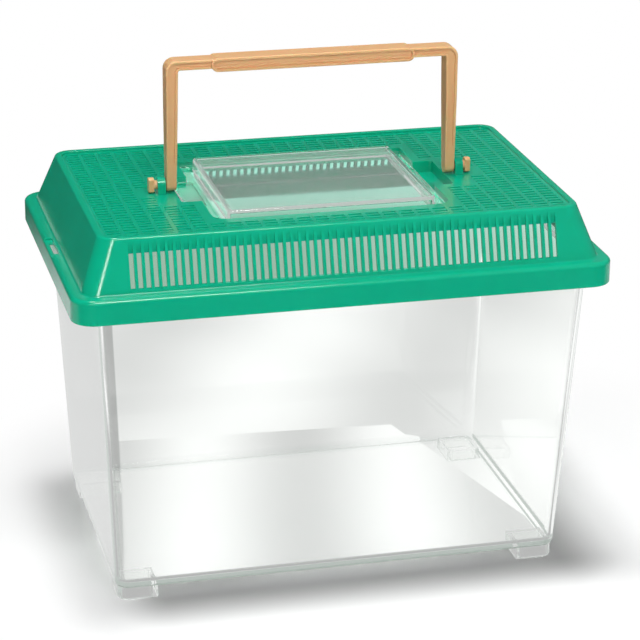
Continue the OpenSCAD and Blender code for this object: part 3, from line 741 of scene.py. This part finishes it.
HANDLE_W, HANDLE_H, HANDLE_R, HANDLE_IN_R = 166.0, 71.0, 6.0, 1.2
LEG_T, LEG_FOOT_T, LEG_FOOT_R, LEG_TAPER_H = 6.8, 5.6, 3.8, 40.0
HANDLE_D, BAR_T = 10.8, 5.4
GRIP_W, GRIP_T, GRIP_D, GRIP_EDGE_R = 115.5, 7.8, 12.4, 0.6
EDGE_W, RECESS, RECESS_FOOT, RECESS_RUN, BAIL_EDGE_R = 1.4, 1.0, 12.5, 1.5, 0.6
RECESS_SLOPE, MOST_SUNK, MID_FOOT, FOOT_FROM = 0.15, 0.8, 0.3, 14
HEAD_X, HEAD_T, HEAD_H, HEAD_D, HEAD_EDGE_R = 89.7, 3.2, 8.4, 5.0, 0.5
GRIP_MID = HANDLE_H - GRIP_T / 2 + (GRIP_T - BAR_T) / 4
HEAD_POINTS = 48
TAN, TAN_DEEP, TAN_ROUGH, TAN_FLOW = "#deb081", "#dcab78", 0.40, (1, 6, 1)


def bail_path():
    """Stations from the left foot to the middle of the bar, as columns: the outer point and
    the inner point in X and Z about the pins, half the depth, and the recess from 0 to 1.
    The foot is a half circle seen from the side, the leg widens in a straight line, and
    both corners are quarter arcs."""
    foot = np.radians(np.linspace(FOOT_FROM, 90, 7))
    low = -LEG_FOOT_R * np.cos(foot)
    rise = np.array([MID_FOOT * RECESS_FOOT, RECESS_FOOT, RECESS_FOOT + RECESS_RUN,
                     LEG_TAPER_H, LEG_TAPER_H + RECESS_RUN])
    under = HANDLE_H - BAR_T
    z = np.concatenate([low, rise])
    widen = np.clip(z / under, 0, 1)
    deep = np.interp(rise, [0, LEG_TAPER_H], [LEG_FOOT_R, HANDLE_D / 2])
    depth = np.concatenate([LEG_FOOT_R * np.sin(foot), deep])
    leg = np.stack([np.full(len(z), -HANDLE_W / 2), z,
                    -HANDLE_W / 2 + LEG_FOOT_T + (LEG_T - LEG_FOOT_T) * widen, z, depth,
                    np.clip((z - RECESS_FOOT) / RECESS_RUN, 0, 1)])
    turn = np.radians(np.linspace(180, 90, 10))
    outer, inner = HANDLE_W / 2 - HANDLE_R, HANDLE_W / 2 - LEG_T - HANDLE_IN_R
    one = np.ones(len(turn))
    corner = np.stack([-outer + HANDLE_R * np.cos(turn),
                       HANDLE_H - HANDLE_R + HANDLE_R * np.sin(turn),
                       -inner + HANDLE_IN_R * np.cos(turn),
                       under - HANDLE_IN_R + HANDLE_IN_R * np.sin(turn),
                       HANDLE_D / 2 * one, one])
    return np.hstack([leg, corner])


def bail_section():
    """Half of the section's outline, from the outer face to the inner one, as columns: the
    share of the thickness, the way in from there, the way in from the side face, and
    whether the point lies in the recess."""
    turn = np.radians(np.linspace(0, 90, 4))
    round_off = BAIL_EDGE_R * (1 - np.sin(turn))
    fall = BAIL_EDGE_R * (1 - np.cos(turn))
    none = np.zeros(4)
    inner = EDGE_W + RECESS_SLOPE
    recess = np.array([[0, 0, 1, 1], [EDGE_W, inner, -inner, -EDGE_W],
                       [0, 0, 0, 0], [0, 1, 1, 0]], float)
    first = np.stack([none, round_off, fall, none])[:, ::-1]
    last = np.stack([none + 1, -round_off, fall, none])
    return np.hstack([first, recess, last])


def bail_shell():
    """The section carried along the path: each station's thickness is the line from its
    outer to its inner point, and its two side faces stand half its depth from the middle."""
    ox, oz, ix, iz, depth, sunk = bail_path()[:, :, None]
    share, way, fall, inside = bail_section()[:, None, :]
    thick = np.hypot(ix - ox, iz - oz)
    at = share + way / thick
    side = depth - np.minimum(fall + RECESS * sunk * inside, depth * MOST_SUNK)
    x, z = ox + (ix - ox) * at, PIN_Z + oz + (iz - oz) * at
    front, back = np.stack([x, PIN_Y - side, z], -1), np.stack([x, PIN_Y + side, z], -1)
    left = np.concatenate([front, back[:, ::-1]], 1)
    right = left[::-1] * (-1, 1, 1)
    return skin(left, right)


def grip_shell():
    """A stadium drawn out front to back, with a raised edge round each recessed face."""
    size = (GRIP_T, GRIP_W)
    face, floor = GRIP_D / 2, GRIP_D / 2 - RECESS
    near = [point(EDGE_W + RECESS_SLOPE, -floor), point(EDGE_W, -face),
            bend(GRIP_EDGE_R, GRIP_EDGE_R - face, GRIP_EDGE_R, -90, 0, steps=4)]
    far = [near_part[:, ::-1] * ((1,), (-1,)) for near_part in near[::-1]]
    rings = ring(size, GRIP_T / 2, near + far, centre=(PIN_Z + GRIP_MID, 0), steps=12)
    return skin(rings[..., ALONG_Y] + (0, PIN_Y, 0))


def head_shell():
    """A disc about the pin, cut off straight at its front and back, with rounded edges."""
    turn = np.radians(np.linspace(0, 360, HEAD_POINTS + 1)[:-1])
    edge = [bend(HEAD_EDGE_R, HEAD_X + HEAD_EDGE_R, HEAD_EDGE_R, -90, 0, steps=3),
            bend(HEAD_EDGE_R, HEAD_X + HEAD_T - HEAD_EDGE_R, HEAD_EDGE_R, 0, 90, steps=3)]
    inset, x = np.hstack(edge)[:, :, None]
    radius, half = HEAD_H / 2 - inset, HEAD_D / 2 - inset
    y = np.clip(radius * np.cos(turn), -half, half)
    z = radius * np.sin(turn)
    return skin(np.stack([x + 0 * y, PIN_Y + y, PIN_Z + z], -1))


handle = solid("handle_bail", bail_shell())
pin_from, pin_to = HANDLE_W / 2 - LEG_FOOT_T / 2, HEAD_X + HEAD_T / 2
combine(handle, "UNION", grip_shell(), both(rod(PIN_R, pin_from, pin_to, (PIN_Y, PIN_Z))),
        both(head_shell()))
finish_piece(handle, "handle",
             polypropylene("tan_polypropylene_satin", TAN, TAN_DEEP, TAN_ROUGH, TAN_FLOW))
